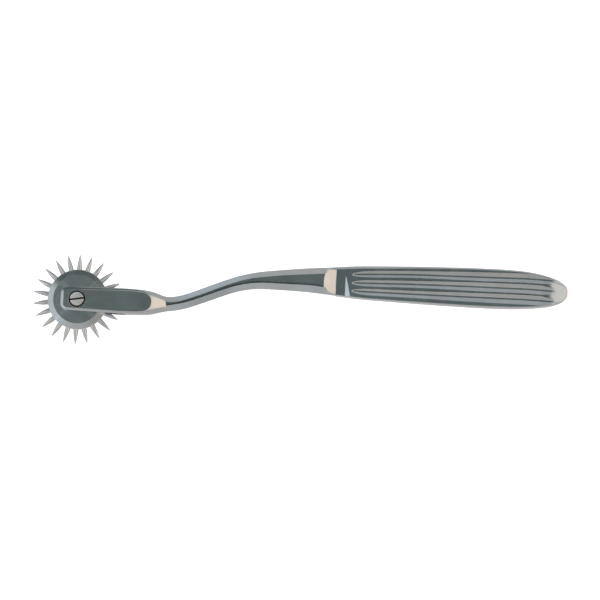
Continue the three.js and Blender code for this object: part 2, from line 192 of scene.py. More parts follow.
CENTRE_LINE_STEP = 0.05  # over which the direction of the centre line is taken
BOLSTER_LENGTH = 4.2
BOLSTER_SLOPE = 0.28
BOLSTER_HALF_WIDTH = 4.6
BOLSTER_EXPONENT = 2.3
BOLSTER_STEP = 0.05  # how far the bolster's crest lies below the collar
BOLSTER_CREST_GAP = 0.02
BOLSTER_CREST_EDGE = 0.09
BOLSTER_CROWN = 0.02  # times the square of the distance from its middle
BOLSTER_MIDDLE_Y = -0.7
BOLSTER_FOOT_EDGE = 0.02

FLANK_POINTS = 14
FACE_POINTS = 61
WALL_POINTS = 4
LEAST_FACE_SHARE = 0.3  # of the half width, that the face's points cover at least
STATIONS_ON_CORNER = 24
STATIONS_ON_ARM = 30
STATIONS_ON_NECK = 90
STATIONS_ON_SHANK = 130
STATIONS_ON_BOLSTER = 56
BOLSTER_LEAD = 0.5  # how far before the bolster its close stations begin
SLOT_ROOT_POINTS = 40
SLOT_OVERSHOOT = 3.0  # how far the cutter of the slot stands out past the arms' end
SLOT_CUTTER_REACH = 9.0  # and to either side of the axle

# ---- Sizes of the wheel and its screw, in millimetres ----
DISC_RADIUS = span("wheel_disc", 0) / 2
DISC_HALF = 2.0
DISC_BEVEL_WIDTH = 2.0
DISC_BEVEL_DEPTH = 1.25
DISC_EDGE_ROUNDING = 0.025
DISC_SEGMENTS = 220
HUB_RADIUS = 3.2
HUB_HALF = 2.2
BORE_RADIUS = 1.6
NEEDLE_COUNT = 22
NEEDLE_TIP_RADIUS = 15.93
NEEDLE_HALF_WIDTH = [  # over the share of the way from the disc's rim to the tip
    [0, 0.86], [0.2, 0.85], [0.37, 0.78], [0.55, 0.65], [0.74, 0.47], [0.88, 0.32], [0.96, 0.21],
    [1, 0.13],
]
NEEDLE_SUNK_SHARE = 0.16  # of its visible length, that reaches into the disc
NEEDLE_RINGS = 24
NEEDLE_SEGMENTS = 28

HEAD_RADIUS = span("axle_screw", 0) / 2
HEAD_TOP_Z = tool_z(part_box("axle_screw")[1].z)
HEAD_SEAT_Z = 3.25
HEAD_EDGE_HEIGHT = 0.3  # over which the head's edge is broken
HEAD_EDGE_FALL = 0.06  # of the head's face at its edge, below its middle
HEAD_FACE_FALL = 0.015  # and at HEAD_FACE_SHARE of its radius
HEAD_FACE_SHARE = 0.6
COUNTERBORE_RADIUS = 2.93
SCREW_END_Z = tool_z(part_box("axle_screw")[0].z)
SCREW_EDGE = 0.22
SCREW_ROUNDING = 0.07
SCREW_GAP = 0.05  # between the screw's shoulder or head and the face it stops at
SCREW_MIDDLE_RADIUS = 0.03  # of the smallest ring, in the middle of each end
SCREW_SEGMENTS = 96
SHOULDER_RADIUS = 1.5
THREAD_RADIUS = 1.2
TAPPED_HOLE_RADIUS = 1.35
BORE_CHAMFER = 0.12
BORE_INSIDE_Z = 0.5  # how near the middle plane the bores are cut
DRIVE_SLOT_WIDTH = 0.62
DRIVE_SLOT_DEPTH = 0.8
DRIVE_SLOT_TURN = math.radians(9.5)

# ---- Finishes ----
FINISHES = {  # recess: radius and level up to which painted shade darkens the steel round the axle, in millimetres
    "forged_steel": {
        "colour": (0.60, 0.61, 0.605), "roughness": 0.13, "grind": 0.12,
        # painted shade in the counterbore round the screw's head
        "recess": (COUNTERBORE_RADIUS + 0.02, ARM_FACE_Z),
    },
    "handle_steel": {
        "colour": (0.60, 0.61, 0.61), "roughness": 0.14, "grind": 0.12, "marks_per_mm": 7.0,
    },
    "screw_steel": {
        "colour": (0.80, 0.77, 0.73), "roughness": 0.34, "grind": 0.6, "pattern": "brushed",
        # the recess paints shade into the drive slot, below the head's face
        "marks_per_mm": 8.0, "recess": (2 * HEAD_RADIUS, HEAD_TOP_Z),
    },
    "disc_steel": {
        "colour": (0.60, 0.61, 0.60), "roughness": 0.16, "grind": 0.2, "pattern": "turned",
        "marks_per_mm": 6.0,
    },
    "needle_steel": {
        "colour": (0.66, 0.66, 0.67), "roughness": 0.2, "grind": 0.2, "pattern": "turned",
        "marks_per_mm": 8.0, "wear": 0.2,
    },
}
WORN_STEEL = rgb(0.78, 0.78, 0.77)
WORN_EDGES = (0.53, 0.62)
# Near-black painted shade, laid in the counterbore round the axle and in the screw's drive slot
RECESS_PAINTED_SHADE = rgb(0.03, 0.028, 0.026)
PAINTED_SHADE_FADE = (0.35, 0.08)  # millimetres below a recess's level, from full painted shade to plain steel
PAINTED_SHADE_EDGE = 0.1  # millimetres outwards, from full painted shade to plain steel
MARK_NOISE = (4.0, 0.6)  # detail and roughness of the noise
SCRATCH_NOISE = (2.0, 0.5)
SMEAR_NOISE = (4.0, 0.55)
MARK_RANGE = (0.3, 0.7)
MARK_ROUGHNESS = (-0.25, 0.3)  # shares of the plain roughness
SCRATCHES_PER_MARK = 2.3
SCRATCH_RANGE = (0.66, 0.74)
SCRATCH_ROUGHNESS = 0.05
SCRATCH_DEPTH = -0.6  # over the depth of the marks
SMEARS_PER_MM = 0.12
SMEAR_SHADE_RANGE = (0.3, 0.7)
SMEAR_SHADES = (0.94, 1.03)
SMEAR_ROUGH_RANGE = (0.35, 0.75)
SMEAR_ROUGHNESS = (0.0, 0.03)
MARK_HEIGHT = 0.00002  # metres
LENGTHWISE_STRETCH = 0.03
BRUSHED_STRETCH = 0.04
BRUSHED_TURN = math.radians(-55)
TURNED_STRETCH = 0.0004  # metres for each radian round the axle

# ---- Light tent: tones, and ranges of the x, y and z of the direction in which a ray leaves ----
WHITE = rgb(1.0, 1.0, 1.0)
LOWER_WALL = rgb(0.515, 0.51, 0.50)
UPPER_WALL = rgb(0.47, 0.50, 0.52)
SIDE_CHANGE = (-0.35, 0.35)
WALL_FOOT = (0.46, 0.54)
DARK_HORIZON = rgb(0.125, 0.155, 0.16)
BRIGHT_HORIZON = rgb(0.57, 0.59, 0.61)
BRIGHT_LEFT_HORIZON = rgb(0.70, 0.77, 0.84)
LEFT_CHANGE = (-0.15, -0.8)
LIT_DIRECTION = (-0.75, -0.66, 0.0)
LIT_RANGE = (0.05, 0.45)
WARM_HORIZON = rgb(0.80, 0.74, 0.68)
WARM_HORIZON_START = (0.8, 0.9)
PALE = rgb(0.93, 0.91, 0.88)
PALE_START = (0.14, 0.24)
PALE_HEIGHT = (0.56, 0.66)
CREAM = rgb(1.22, 1.05, 0.90)
CREAM_LEFT = ((-0.38, -0.44), (-0.72, -0.64))
CREAM_RIGHT = ((0.60, 0.66), (0.86, 0.80))
CREAM_MIDDLE_Y = 0.08
CREAM_REACH_Y = (0.46, 0.36)
CREAM_HEIGHT = (0.5, 0.58)
TABLE_LOWER = rgb(0.56, 0.56, 0.555)
TABLE_UPPER = rgb(0.55, 0.555, 0.56)
TABLE_COOL = rgb(0.58, 0.64, 0.70)
TABLE_COOL_PART = ((-0.1, -0.35), (-0.65, -0.45))
TABLE_WARM = rgb(1.02, 0.86, 0.73)
TABLE_WARM_START = (0.45, 0.6)
TABLE_TOP = (-0.05, 0.03)
OVERHEAD = (0.2, 0.4)
RING = (0.41, 0.36, 0.09)  # half sizes along x and y, and the y of the middle
RING_EDGE = (1.04, 0.96)
RING_UPPER = rgb(0.56, 0.64, 0.72)
RING_LEFT = rgb(0.78, 0.91, 1.02)
RING_LEFT_CHANGE = (0.0, -0.2)
RING_BLACK = rgb(0.02, 0.025, 0.027)
RING_BLACK_DIRECTION = (0.5, -0.85, 0.0)
RING_BLACK_RANGE = (-0.02, 0.06)
OPENING = (0.21, 0.22, 0.12)
OPENING_EDGE = (1.06, 0.94)
OPENING_LEFT = rgb(0.152, 0.181, 0.178)
OPENING_RIGHT = rgb(0.122, 0.16, 0.162)
OPENING_CHANGE = (-0.09, 0.0)

# ---- Table, lamp and camera, in metres ----
TABLE_REACH = 1.5
TABLE_HEIGHT = -0.0004
TABLE_GREY = rgb(0.9, 0.9, 0.9)
TABLE_ROUGHNESS = 0.9
TABLE_GLOW = 0.55
LAMP_SIZE = 1.6
LAMP_HEIGHT = 1.6
LAMP_WATTS = 22.0
CAMERA_DISTANCE = 0.9
CAMERA_VIEW_WIDTH = 0.2135
CAMERA_TILT = math.radians(4.5)
CAMERA_TURN = math.radians(2.67)
CAMERA_TARGET = [79.0, 3.53, 0.0]  # millimetres from the axle


# ---- Curves ----

def slopes_at(xs, vs):
    """Slope at each pair of a table, such that the curve through them doesn't overshoot."""
    rises = np.diff(vs) / np.diff(xs)
    same = rises[:-1] * rises[1:] > 0
    total = np.where(same, rises[:-1] + rises[1:], 1.0)
    inner = np.where(same, 2 * rises[:-1] * rises[1:] / total, 0.0)
    return np.concatenate([rises[:1], inner, rises[-1:]])


def blurred(curve, softness):
    """A curve averaged with bell-shaped weights, whose spread is the softness."""
    offsets = np.linspace(-2, 2, 9)
    weights = np.exp(-offsets ** 2 / 2)
    weights /= weights.sum()
    return lambda x: sum(w * curve(np.asarray(x) + softness * o) for w, o in zip(weights, offsets))


def smooth_line(pairs, softness=0.0):
    """Function of x through [x, value] pairs, without overshoot, blurred over softness."""
    xs, vs = np.array(pairs, float).T
    slopes = slopes_at(xs, vs)

    def curve(x):
        x = np.clip(x, xs[0], xs[-1])
        i = np.clip(np.searchsorted(xs, x) - 1, 0, len(xs) - 2)
        length = xs[i + 1] - xs[i]
        t = (x - xs[i]) / length
        start = vs[i] * (1 + 2 * t) * (1 - t) ** 2 + slopes[i] * length * t * (1 - t) ** 2
        return start + vs[i + 1] * t * t * (3 - 2 * t) + slopes[i + 1] * length * t * t * (t - 1)

    return blurred(curve, softness) if softness else curve


def smooth_min(a, b, radius):
    """The lower of two heights, with the corner between them rounded."""
    near = np.clip(0.5 + 0.5 * (b - a) / radius, 0, 1)
    return b + (a - b) * near - radius * near * (1 - near)


def smooth_max(a, b, radius):
    return -smooth_min(-np.asarray(a), -np.asarray(b), radius)


def smooth_step(value, low, high):
    """0 at low and 1 at high, with an S-shaped rise between them."""
    t = np.clip((value - low) / (high - low), 0, 1)
    return t * t * (3 - 2 * t)


def fall_off(value, start, end, exponent):
    """1 up to start, falling along a rounded end to nearly 0 at end."""
    part = np.clip((value - start) / (end - start), 0, 1)
    return max(BUTT_LEAST_SHARE, float((1 - part ** exponent) ** (1 / exponent)))


# ---- Meshes ----

def add_object(name, data):
    obj = bpy.data.objects.new(name, data)
    bpy.context.scene.collection.objects.link(obj)
    return obj


def make_object(name, points, faces, crease=CREASE):
    """A mesh piece from points in millimetres in the tool's axes, smooth but for its creases."""
    mesh = bpy.data.meshes.new(name)
    mesh.from_pydata(place(points).tolist(), [], faces)
    mesh.validate()
    mesh.update()
    mesh.shade_smooth()
    mesh.set_sharp_from_angle(angle=math.radians(crease))
    return add_object(name, mesh)


def loft_faces(rings, count, closed_along=False):
    """Quads between rings of count points, and an end face on the first and last ring."""
    faces = []
    for r in range(rings if closed_along else rings - 1):
        here = r * count
        there = ((r + 1) % rings) * count
        for i in range(count):
            j = (i + 1) % count
            faces.append((here + i, here + j, there + j, there + i))
    if not closed_along:
        last = (rings - 1) * count
        faces.append(tuple(range(count))[::-1])
        faces.append(tuple(range(last, last + count)))
    return faces


def loft(name, rings, crease=CREASE):
    return make_object(name, np.concatenate(rings), loft_faces(len(rings), len(rings[0])), crease)


def lathe_points(profile, segments):
    """Rings about z through [radius, z] pairs, one ring for each pair."""
    turn = np.linspace(0, 2 * math.pi, segments, endpoint=False)
    return [
        np.column_stack([r * np.cos(turn), r * np.sin(turn), np.full(segments, z)])
        for r, z in profile
    ]


def rounded(profile, radius):
    """A [radius, z] profile with each inner corner replaced by a short curve.

    A point just outside each curve keeps the shading of the long faces beside it flat.
    """
    points = [np.array(p, float) for p in profile]
    out = [points[0]]
    for before, corner, after in zip(points, points[1:], points[2:]):
        back = before - corner
        ahead = after - corner
        reach = min(radius, CORNER_MOST_SHARE * np.hypot(*back), CORNER_MOST_SHARE * np.hypot(*ahead))
        back = back / np.hypot(*back) * reach
        ahead = ahead / np.hypot(*ahead) * reach
        out.append(corner + SUPPORT_REACH * back)
        for t in np.linspace(0, 1, CORNER_POINTS):
            out.append(corner + (1 - t) ** 2 * back + t * t * ahead)
        out.append(corner + SUPPORT_REACH * ahead)
    return [*out, points[-1]]


def about_axle(angle):
    """Turn about the axle, for points in the frame."""
    return Matrix.Translation(AXLE) @ Matrix.Rotation(angle, 4, "Z") @ Matrix.Translation(-AXLE)


def cut(obj, *cutters):
    """Takes the cutters away from a piece, and deletes them."""
    for cutter in cutters:
        modifier = obj.modifiers.new("cut", "BOOLEAN")
        modifier.operation = "DIFFERENCE"
        modifier.solver = "EXACT"
        modifier.object = cutter
        depsgraph = bpy.context.evaluated_depsgraph_get()
        mesh = bpy.data.meshes.new_from_object(obj.evaluated_get(depsgraph))
        obj.modifiers.clear()
        obj.data = mesh
        bpy.data.objects.remove(cutter)
    obj.data.shade_smooth()
    obj.data.set_sharp_from_angle(angle=math.radians(CUT_CREASE))


# ---- Faces that the handle and the fork share ----

shell_width_at = smooth_line(HANDLE_HALF_WIDTH, softness=1.0)
body_depth_at = smooth_line(BODY_HALF_DEPTH)
upper_flat_at = smooth_line(UPPER_FLAT_SHARE)
lower_flat_at = smooth_line(LOWER_FLAT_SHARE)


def side_height(h, y, half, depth):
    """Steep rounded sides of the handle and its bolster, which meet the flat face at its edges."""
    part = np.clip(np.abs(y) / half, 0, 1)
    flat = np.where(y > 0, upper_flat_at(h), lower_flat_at(h))
    height = ((1 - part ** SIDE_EXPONENT) / (1 - flat ** SIDE_EXPONENT)) ** (1 / SIDE_EXPONENT)
    return depth * height


def collar_height(y):
    """The collar's face, leaning a little towards the lower side."""
    return np.minimum(BODY_HALF_DEPTH[0][1], COLLAR_LOW_Z + COLLAR_TILT * (y - COLLAR_LOW_Y))


# ---- Fork, neck, shank and bolster ----

half_width_at = smooth_line(HALF_WIDTH, softness=0.5)
land_at = smooth_line(LAND_HALF_WIDTH, softness=0.3)
depth_at = smooth_line(SHANK_HALF_DEPTH, softness=1.5)
flank_share_at = smooth_line(FLANK_DEPTH_SHARE, softness=0.5)
flank_exponent_at = smooth_line(FLANK_EXPONENT, softness=0.5)
centre_at = smooth_line(CENTRE_LINE, softness=1.6)


def arm_half(x, inset=0.0):
    """Half width at x of the outline, with the arms' rounded corners, or of its inset copy."""
    half = float(half_width_at(max(x, ARM_CORNER_X)))
    reach = (ARM_CORNER - inset) ** 2 - max(ARM_CORNER_X - x, 0.0) ** 2
    return half - ARM_CORNER + math.sqrt(reach) if reach > 0 else 0.0


def inner_half(x):
    """Half width of the flat part of the face, inside the bevels or flanks."""
    if x < FLANK_START:
        return arm_half(x, ARM_BEVEL)
    before_handle = HANDLE_START - x
    land = float(land_at(x))
    if before_handle >= BOLSTER_LENGTH:
        return land
    part = before_handle / BOLSTER_LENGTH
    bolster = (1 - part ** BOLSTER_EXPONENT) ** (1 / BOLSTER_EXPONENT)
    return max(land, BOLSTER_HALF_WIDTH * bolster)


def edge_distance(x, y):
    """Distance of a point of the face from the outline of the arms, neck or shank."""
    side = half_width_at(max(x, ARM_CORNER_X)) - y
    past_x = ARM_CORNER_X - x
    if past_x <= 0:
        return side
    past_y = np.maximum(ARM_CORNER - side, 0)
    return np.minimum(ARM_CORNER - np.hypot(past_x, past_y), side)


def nose_height(x, y):
    """Face of the arm, which ends in a round nose and falls to the neck beyond it."""
    face = np.full_like(y, ARM_FACE_Z)
    if x < NOSE_START:
        return face
    past = (x - NOSE_START) / NOSE_LENGTH
    across = np.abs(y) / NOSE_HALF
    reach = (past ** NOSE_EXPONENT + across ** NOSE_EXPONENT) ** (1 / NOSE_EXPONENT)
    outside = (reach - 1) * NOSE_LENGTH
    return smooth_min(face, ARM_FACE_Z - NECK_SLOPE * outside, NOSE_EDGE)


def bolster_height(x, y):
    """Ramp that rises to the crest of the bolster, just below the collar's face."""
    crest = collar_height(y) - BOLSTER_STEP
    crest = np.minimum(crest, side_height(0.0, y, HANDLE_HALF_WIDTH[0][1], crest))
    crown = BOLSTER_CROWN * (y - BOLSTER_MIDDLE_Y) ** 2
    ramp = crest - BOLSTER_SLOPE * (HANDLE_START - x) - crown
    return smooth_min(ramp, crest - BOLSTER_CREST_GAP, BOLSTER_CREST_EDGE)


def flat_height(x, y, land):
    """Height of the face inside the flanks: arm, neck, land with rolled edges, and bolster."""
    if x <= NOSE_START:
        return np.full_like(y, ARM_FACE_Z)
    roll = LAND_ROLL_SLOPE * LAND_ROLL_REACH * np.exp(-(y + land) / LAND_ROLL_REACH)
    height = smooth_max(nose_height(x, y), float(depth_at(x)) - roll, LAND_JOIN)
    if x < HANDLE_START - 2 * BOLSTER_LENGTH:
        return height
    return smooth_max(height, bolster_height(x, y), BOLSTER_FOOT_EDGE)


def fork_heights(x, y):
    """Height of the front surface over the points y, of either sign, of one cross-section."""
    inner = inner_half(x)
    land = max(inner, LEAST_LAND)
    flank = ARM_BEVEL if x < FLANK_START else arm_half(x) - inner
    rim = flat_height(x, np.sign(y) * inner, land)
    share = float(flank_share_at(x))
    inset = np.clip(edge_distance(x, np.abs(y)) / flank, 0, 1)
    exponent = float(flank_exponent_at(x))
    fall = 1 - (1 - (1 - inset) ** exponent) ** (1 / exponent)
    return np.where(inset < 1, rim * (1 - share * fall), flat_height(x, y, land))


def fork_section(x):
    """Points over the front from the upper edge of a cross-section to the lower, at mid depth."""
    half = arm_half(x)
    inner = max(inner_half(x), LEAST_FACE_SHARE * half)
    flank = np.linspace(half, inner, FLANK_POINTS)
    face = np.linspace(inner, -inner, FACE_POINTS)[1:-1]
    across = np.concatenate([flank, face, -flank[::-1]])
    heights = fork_heights(x, across)
    wall = np.linspace(0, 1, WALL_POINTS, endpoint=False)
    first = np.column_stack([np.full(WALL_POINTS, half), heights[0] * wall])
    last = np.column_stack([np.full(WALL_POINTS, -half), heights[-1] * wall[::-1]])
    return np.concatenate([first, np.column_stack([across, heights]), last])


def fork_stations():
    """Places along x, close together at the arms' end, the nose and the bolster."""
    turn = np.linspace(0, math.pi / 2, STATIONS_ON_CORNER)
    corner = ARM_END_X + ARM_CORNER * (1 - np.cos(turn))
    bolster_x = HANDLE_START - BOLSTER_LENGTH - BOLSTER_LEAD
    return np.concatenate([
        corner[:-1],
        np.linspace(ARM_CORNER_X, NOSE_START, STATIONS_ON_ARM, endpoint=False),
        np.linspace(NOSE_START, NECK_END, STATIONS_ON_NECK, endpoint=False),
        np.linspace(NECK_END, bolster_x, STATIONS_ON_SHANK, endpoint=False),
        np.linspace(bolster_x, HANDLE_START, STATIONS_ON_BOLSTER),
    ])


def fork_ring(x):
    """Whole cross-section at x, square to the centre line."""
    front = fork_section(x)
    back = (front * [1, -1])[-2:0:-1]
    y, z = np.concatenate([front, back]).T
    rise = float(centre_at(x + CENTRE_LINE_STEP) - centre_at(x - CENTRE_LINE_STEP))
    slope = math.atan(rise / (2 * CENTRE_LINE_STEP))
    return np.column_stack([x - y * math.sin(slope), centre_at(x) + y * math.cos(slope), z])


def slot_cutter():
    """The slot between the arms, with a round root."""
    start = ARM_END_X - SLOT_OVERSHOOT
    turn = np.linspace(-math.pi / 2, math.pi / 2, SLOT_ROOT_POINTS)
    root = SLOT_ROOT_X - SLOT_HALF_WIDTH
    x = np.concatenate([[start], root + SLOT_HALF_WIDTH * np.cos(turn), [start]])
    z = np.concatenate([[-SLOT_HALF_WIDTH], SLOT_HALF_WIDTH * np.sin(turn), [SLOT_HALF_WIDTH]])
    rings = [np.column_stack([x, np.full_like(x, y), z]) for y in (SLOT_CUTTER_REACH, -SLOT_CUTTER_REACH)]
    return loft("slot_cutter", rings)


def bore_cutter(name, profile):
    return loft(name, lathe_points(profile, SCREW_SEGMENTS))


def make_fork():
    fork = loft("fork_and_shank", [fork_ring(x) for x in fork_stations()])
    head_bore = bore_cutter("head_bore", [
        [COUNTERBORE_RADIUS, HEAD_SEAT_Z - SCREW_GAP],
        [COUNTERBORE_RADIUS, ARM_FACE_Z - BORE_CHAMFER],
        [COUNTERBORE_RADIUS + 2 * BORE_CHAMFER, ARM_FACE_Z + BORE_CHAMFER],
    ])
    shoulder_bore = bore_cutter("shoulder_bore", [
        [BORE_RADIUS, BORE_INSIDE_Z],
        [BORE_RADIUS, ARM_FACE_Z],
    ])
    thread_bore = bore_cutter("thread_bore", [
        [TAPPED_HOLE_RADIUS + 3 * BORE_CHAMFER, -ARM_FACE_Z - BORE_CHAMFER],
        [TAPPED_HOLE_RADIUS, -ARM_FACE_Z + 2 * BORE_CHAMFER],
        [TAPPED_HOLE_RADIUS, -BORE_INSIDE_Z],
    ])
    cut(fork, slot_cutter(), head_bore, shoulder_bore, thread_bore)
    return fork


# ---- Handle shells ----

flute_depth_at = smooth_line(FLUTE_DEPTH)
flutes = [(smooth_line(middles, softness=1.5), upper, lower) for middles, upper, lower in FLUTES]


def depth_share(h):
    """Share of the full depth that is left near the butt: a slow fall, then a rounded edge."""
    thinned = max(h - BUTT_THIN_START, 0) / (HANDLE_LENGTH - BUTT_THIN_START)
    edge = fall_off(h, HANDLE_LENGTH - BUTT_EDGE_LENGTH, HANDLE_LENGTH, 2)
    return (1 - BUTT_THINNING * thinned ** 2) * edge


def plain_height(h, y, half):
    """Height of a shell's outside before its flutes are cut."""
    thin = depth_share(h)
    body = thin * (float(body_depth_at(h)) - CROWN_FALL * y * y)
    facet = collar_height(y) + FACET_SLOPE * max(h - COLLAR_END, 0)
    top = smooth_min(body, facet, FACET_EDGE)
    side = side_height(h, y, half, thin * float(body_depth_at(h)))
    return smooth_min(top, side, SIDE_EDGE * thin)


def flute_depth(h):
    """Depth of the flutes, which start behind the collar and fade out towards the butt."""
    faded = max(h - FLUTE_FADE_START, 0) / (HANDLE_LENGTH - FLUTE_FADE_START)
    return float(flute_depth_at(h)) * (1 - faded)


def fluted_height(h, y, half, plain, flute):
    """Height with one flute cut: its floor and flanks, and beside them crests with rolled edges."""
    middle_at, upper, lower = flute
    depth = flute_depth(h)
    furthest = FLUTE_FURTHEST * half
    middle = float(np.clip(middle_at(h), -furthest, furthest))
    slope = np.where(y > middle, upper, lower)
    floor = float(plain_height(h, np.array([middle]), half)[0]) - depth
    past_floor = np.maximum(np.abs(y - middle) - FLUTE_FLOOR, 0)
    away = np.sqrt(past_floor ** 2 + FLUTE_FLOOR_ROUNDING ** 2) - FLUTE_FLOOR_ROUNDING
    groove = floor + slope * away
    clear = np.maximum(groove - plain, 0)
    rolled = CREST_ROLL_SLOPE * CREST_ROLL_REACH * np.exp(-clear / (slope * CREST_ROLL_REACH))
    crest = plain - min(1, depth / CREST_ROLL_DEPTH) * rolled
    return smooth_min(crest, groove, FLUTE_EDGE)


def shell_heights(h, y, half):
    """Height of a shell's outside over the points y of its cross-section."""
    plain = plain_height(h, y, half)
    if h <= FLUTE_DEPTH[0][0] or flute_depth(h) <= 0:
        return plain
    return np.minimum.reduce([plain, *(fluted_height(h, y, half, plain, flute) for flute in flutes)])


def shell_outside(h, half):
    """Outside of a shell's section from +y to -y, drawn in a little where the shells meet."""
    near = half * (1 - np.linspace(0, 1, SHELL_POINTS) ** 2)
    across = np.concatenate([near, -near[-2::-1]])
    heights = shell_heights(h, across, half)
    heights[[0, -1]] = 0.0
    seam = np.minimum(SEAM_GROOVE * smooth_step(heights, SEAM_REACH, 0.0), SEAM_MOST_SHARE * half)
    return np.column_stack([across - np.sign(across) * seam, heights])


def shell_inside(h, half):
    """Inside of a shell's section from -y to +y: half an ellipse, which closes near the butt."""
    inside_half = max(half - WALL, INSIDE_LEAST_SHARE * half)
    full_height = float(body_depth_at(h)) * depth_share(h) - WALL - FLUTE_DEPTH[-1][1]
    left = 1 - float(smooth_step(h, CAVITY_CLOSING_START, CAVITY_END))
    height = max(full_height, INSIDE_LEAST_HEIGHT) * left
    turn = np.linspace(math.pi, 0, INSIDE_POINTS)
    return np.column_stack([inside_half * np.cos(turn), height * np.sin(turn)])


def shell_ring(h, side):
    """C-shaped section of a shell: its outside, then its inside back again."""
    half = float(shell_width_at(h)) * fall_off(h, BUTT_START, HANDLE_LENGTH, BUTT_EXPONENT)
    half = min(half, HANDLE_MOST_HALF_WIDTH)
    y, z = np.concatenate([shell_outside(h, half), shell_inside(h, half)]).T
    droop = BUTT_DROOP * float(smooth_step(h, BUTT_DROOP_START, HANDLE_LENGTH))
    x = np.full_like(y, HANDLE_START + h)
    points = np.column_stack([x, HANDLE_AXIS_Y - droop + y, side * z])
    return points if side > 0 else points[::-1]


def make_shell(name, side):
    """The front shell for side 1, and its mirror image for side -1."""
    butt = HANDLE_LENGTH - BUTT_START
    stations = np.concatenate([
        np.linspace(0, CLOSE_STATIONS_END, STATIONS_ON_COLLAR, endpoint=False),
        np.linspace(CLOSE_STATIONS_END, BUTT_START, STATIONS_ON_HANDLE, endpoint=False),
        BUTT_START + butt * np.sin(np.linspace(0, math.pi / 2, STATIONS_ON_BUTT)),
    ])
    return loft(name, [shell_ring(h, side) for h in stations], SHELL_CREASE)


# ---- Wheel ----

def make_disc():
    """Disc with a bevelled rim, a low hub and a bore, turned as one closed ring."""
    face = DISC_RADIUS - DISC_BEVEL_WIDTH
    rim = DISC_HALF - DISC_BEVEL_DEPTH
    half = [
        [BORE_RADIUS, 0], [BORE_RADIUS, HUB_HALF], [HUB_RADIUS, HUB_HALF], [HUB_RADIUS, DISC_HALF],
        [face, DISC_HALF], [DISC_RADIUS, rim], [DISC_RADIUS, 0],
    ]
    upper = rounded(half, DISC_EDGE_ROUNDING)
    lower = [np.array([r, -z]) for r, z in upper[-2:0:-1]]
    rings = lathe_points([*upper, *lower], DISC_SEGMENTS)[::-1]
    faces = loft_faces(len(rings), DISC_SEGMENTS, closed_along=True)
    return make_object("wheel_disc_turned", np.concatenate(rings), faces)


def make_needle(number, angle):
    """Turned pin that stands out of the disc's rim at an angle about the axle."""
    exposed = NEEDLE_TIP_RADIUS - DISC_RADIUS
    width_at = smooth_line(NEEDLE_HALF_WIDTH)
    parts = np.concatenate([[-NEEDLE_SUNK_SHARE], np.linspace(0, 1, NEEDLE_RINGS)])
    profile = [[float(width_at(max(p, 0))), DISC_RADIUS + p * exposed] for p in parts]
    rings = [ring[:, [2, 0, 1]] for ring in lathe_points(profile, NEEDLE_SEGMENTS)]
    needle = loft(f"needle_point_{number:02d}", rings)
    needle.data.transform(about_axle(angle))
    return needle


def needle_angle(node):
    """Angle about the axle at which a CAD needle stands."""
    low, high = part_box(node)
    out = (low + high) / 2 - AXLE
    return math.atan2(out.y, out.x)


# ---- Axle screw ----

def screw_profile():
    """[radius, z] pairs from the threaded end, over the shoulder, to the middle of the head."""
    shoulder_z = -SLOT_HALF_WIDTH + SCREW_GAP
    return [
        [SCREW_MIDDLE_RADIUS, SCREW_END_Z],
        [THREAD_RADIUS - SCREW_EDGE, SCREW_END_Z],
        [THREAD_RADIUS, SCREW_END_Z + SCREW_EDGE],
        [THREAD_RADIUS, shoulder_z],
        [SHOULDER_RADIUS, shoulder_z],
        [SHOULDER_RADIUS, HEAD_SEAT_Z],
        [HEAD_RADIUS, HEAD_SEAT_Z],
        [HEAD_RADIUS, HEAD_TOP_Z - HEAD_EDGE_HEIGHT],
        [HEAD_RADIUS - SCREW_EDGE, HEAD_TOP_Z - HEAD_EDGE_FALL],
        [HEAD_FACE_SHARE * HEAD_RADIUS, HEAD_TOP_Z - HEAD_FACE_FALL],
        [SCREW_MIDDLE_RADIUS, HEAD_TOP_Z],
    ]


def drive_slot_cutter():
    length = 2 * HEAD_RADIUS
    width = DRIVE_SLOT_WIDTH / 2
    corners = [(-length, -width), (length, -width), (length, width), (-length, width)]
    ends = (HEAD_TOP_Z - DRIVE_SLOT_DEPTH, HEAD_TOP_Z + 1)
    cutter = loft("drive_slot", [np.array([(x, y, z) for x, y in corners]) for z in ends])
    cutter.data.transform(about_axle(DRIVE_SLOT_TURN))
    return cutter


def make_screw():
    profile = rounded(screw_profile(), SCREW_ROUNDING)
    screw = loft("axle_screw_turned", lathe_points(profile, SCREW_SEGMENTS))
    cut(screw, drive_slot_cutter())
    return screw


# ---- Materials ----

